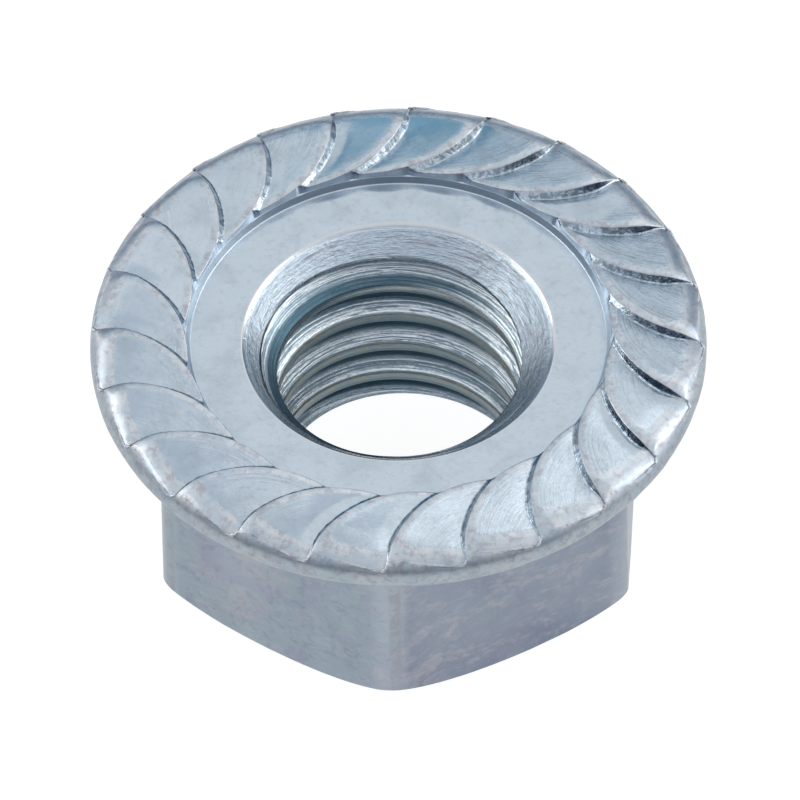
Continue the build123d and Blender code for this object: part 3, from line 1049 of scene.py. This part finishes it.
class FLANGENUT_OT_build_stage(bpy.types.Operator):
    """Builds the floor, the background, the soft boxes, the cards and the camera"""

    bl_idname = "flange_nut.build_stage"
    bl_label = "Build stage"

    def execute(self, context):
        look = context.scene.stage_look
        seat = Vector((0, 0, context.scene.nut_sizes.seat_height))
        self.lay_floor(look)
        self.light_background(context.scene)
        self.hang_boxes(look, seat)
        self.hang_cards(look, seat)
        self.aim_camera(context.scene, seat)
        context.scene.view_settings.view_transform = "Standard"
        return {"FINISHED"}

    def lay_floor(self, look):
        """A wide floor, which also glows where it is seen or mirrored."""
        mesh = bpy.data.meshes.new("floor")
        signs = ((-1, -1), (1, -1), (1, 1), (-1, 1))
        corners = [(x * FLOOR_REACH, y * FLOOR_REACH, FLOOR_LEVEL) for x, y in signs]
        mesh.from_pydata(corners, [], [(0, 1, 2, 3)])

        def surface(graph):
            lit = graph.node("ShaderNodeBsdfDiffuse", {}, {"Color": (*look.floor, 1)})
            level = seen_directly_or_mirrored(graph) * look.floor_glow
            glow = graph.node("ShaderNodeEmission", {}, {"Color": WHITE, "Strength": level})
            return graph.node("ShaderNodeAddShader", {}, {0: lit, 1: glow})

        mesh.materials.append(plain_material("floor", surface))
        link_object("floor", mesh)

    def light_background(self, scene):
        """White where it is seen or mirrored, and a greyer light on all else."""
        world = bpy.data.worlds.new("studio")
        world.use_nodes = True
        world.node_tree.nodes.clear()
        graph = Graph(world.node_tree)
        room = graph.node("ShaderNodeBackground", {}, {"Color": ROOM, "Strength": ROOM_LEVEL})
        white = graph.node("ShaderNodeBackground", {}, {"Color": WHITE, "Strength": 1.0})
        seen = seen_directly_or_mirrored(graph)
        surface = graph.node("ShaderNodeMixShader", {}, {0: seen, 1: room, 2: white})
        graph.node("ShaderNodeOutputWorld", {}, {"Surface": surface})
        scene.world = world

    def hang_boxes(self, look, seat):
        """Two wide soft boxes, at azimuths and elevations in degrees."""
        for name, azimuth, elevation in (("left box", 172, 27), ("right box", 12, 30)):
            lamp = bpy.data.lights.new(name, "AREA")
            lamp.shape = "RECTANGLE"
            lamp.size, lamp.size_y = BOX_WIDTH, BOX_HEIGHT
            lamp.energy = BOX_LEVEL * look.lamp_level * pi * BOX_WIDTH * BOX_HEIGHT
            made = link_object(name, lamp)
            made.matrix_world = facing(seat + direction(azimuth, elevation) * BOX_AWAY, seat)

    def hang_cards(self, look, seat):
        """Cards by their azimuths and elevations in degrees, their distance and their colour."""
        cards = (
            ("blue card", (-158, -22), (10, 66), 0.5, look.blue),
            ("side card", (-212, -4), (-3, 23), 0.47, look.dark),
            ("front card", (-150, -30), (-3, 26), 0.48, look.dark),
            ("dusk card", (50, 135), (-3, 52), 0.5, look.dusk),
            ("upper card", (66, 142), (55, 84), 0.5, look.upper),
            ("core card", (97, 112), (-3, 43), 0.49, look.core),
            ("low card", (40, 140), (-3, 25), 0.48, look.low),
            ("glow card", (46, 84), (38, 60), 0.47, look.glow),
        )
        for name, azimuths, elevations, away, shade in cards:
            self.hang_card(name, seat, azimuths, elevations, away, shade)

    def hang_card(self, name, seat, azimuths, elevations, away, shade):
        """A curved card that only the metal sees, with its edges faded out."""
        mesh = bpy.data.meshes.new(name)
        spans = np.linspace(*azimuths, CARD_SPANS + 1)
        rows = np.linspace(*elevations, CARD_ROWS + 1)
        points = [seat + direction(a, e) * away for e in rows for a in spans]
        index = np.arange(len(points)).reshape(len(rows), len(spans))
        mesh.from_pydata(points, [], grid_faces(index))
        layer = mesh.uv_layers.new(name="card")
        for loop, uv in zip(mesh.loops, layer.data):
            up, across = divmod(loop.vertex_index, len(spans))
            uv.uv = (across / CARD_SPANS, up / CARD_ROWS)

        def surface(graph):
            across, up, _ = graph.parts(graph.node("ShaderNodeTexCoord", {}, {}, "UV"))
            shown = graph.band(across, 0.5, 0.4, 0.1) * graph.band(up, 0.5, 0.37, 0.13)
            clear = graph.node("ShaderNodeBsdfTransparent", {}, {})
            lit = graph.node("ShaderNodeEmission", {}, {"Color": (*shade, 1), "Strength": 1.0})
            return graph.node("ShaderNodeMixShader", {}, {0: shown, 1: clear, 2: lit})

        mesh.materials.append(plain_material(name, surface))
        card = link_object(name, mesh)
        for ray in ("camera", "diffuse", "shadow", "transmission"):
            setattr(card, "visible_" + ray, False)

    def aim_camera(self, scene, seat):
        """A very long lens from far away, so that it shows hardly any perspective."""
        turn, tilt, roll = map(radians, CAMERA_ANGLES)
        right = Vector((cos(turn), sin(turn), 0))
        ahead = Vector((-sin(turn) * cos(tilt), cos(turn) * cos(tilt), -sin(tilt)))
        up = right.cross(ahead)
        across = right * cos(roll) - up * sin(roll)
        upright = right * sin(roll) + up * cos(roll)
        aside, lowered = CAMERA_SHIFT
        place = seat - ahead * (CAMERA_AWAY * PIXEL)
        place += across * (aside * PIXEL) - upright * (lowered * PIXEL)
        camera = bpy.data.cameras.new("camera")
        camera.lens = CAMERA_AWAY * SENSOR / FRAME_PIXELS
        camera.clip_end = CLIP_END
        made = link_object("camera", camera)
        axes = Matrix((across, upright, -ahead)).transposed().to_4x4()
        made.matrix_world = Matrix.Translation(place) @ axes
        scene.camera = made


class FLANGENUT_PT_panel(bpy.types.Panel):
    """Sizes, finish and stage of the nut"""

    bl_idname = "FLANGENUT_PT_panel"
    bl_label = "Serrated flange nut"
    bl_space_type = "VIEW_3D"
    bl_region_type = "UI"
    bl_category = "Flange nut"

    def draw(self, context):
        for group in (context.scene.nut_sizes, context.scene.nut_finish, context.scene.stage_look):
            box = self.layout.box()
            for name in group.__annotations__:
                box.prop(group, name)
        self.layout.operator(FLANGENUT_OT_build_nut.bl_idname)
        self.layout.operator(FLANGENUT_OT_build_stage.bl_idname)


CLASSES = (
    NutSizes,
    NutFinish,
    StageLook,
    FLANGENUT_OT_build_nut,
    FLANGENUT_OT_build_stage,
    FLANGENUT_PT_panel,
)


def register():
    for cls in CLASSES:
        bpy.utils.register_class(cls)
    bpy.types.Scene.nut_sizes = PointerProperty(type=NutSizes)
    bpy.types.Scene.nut_finish = PointerProperty(type=NutFinish)
    bpy.types.Scene.stage_look = PointerProperty(type=StageLook)


def unregister():
    del bpy.types.Scene.stage_look
    del bpy.types.Scene.nut_finish
    del bpy.types.Scene.nut_sizes
    for cls in reversed(CLASSES):
        bpy.utils.unregister_class(cls)


def main():
    register()
    bpy.ops.flange_nut.build_nut()
    bpy.ops.flange_nut.build_stage()


if __name__ == "__main__":
    main()
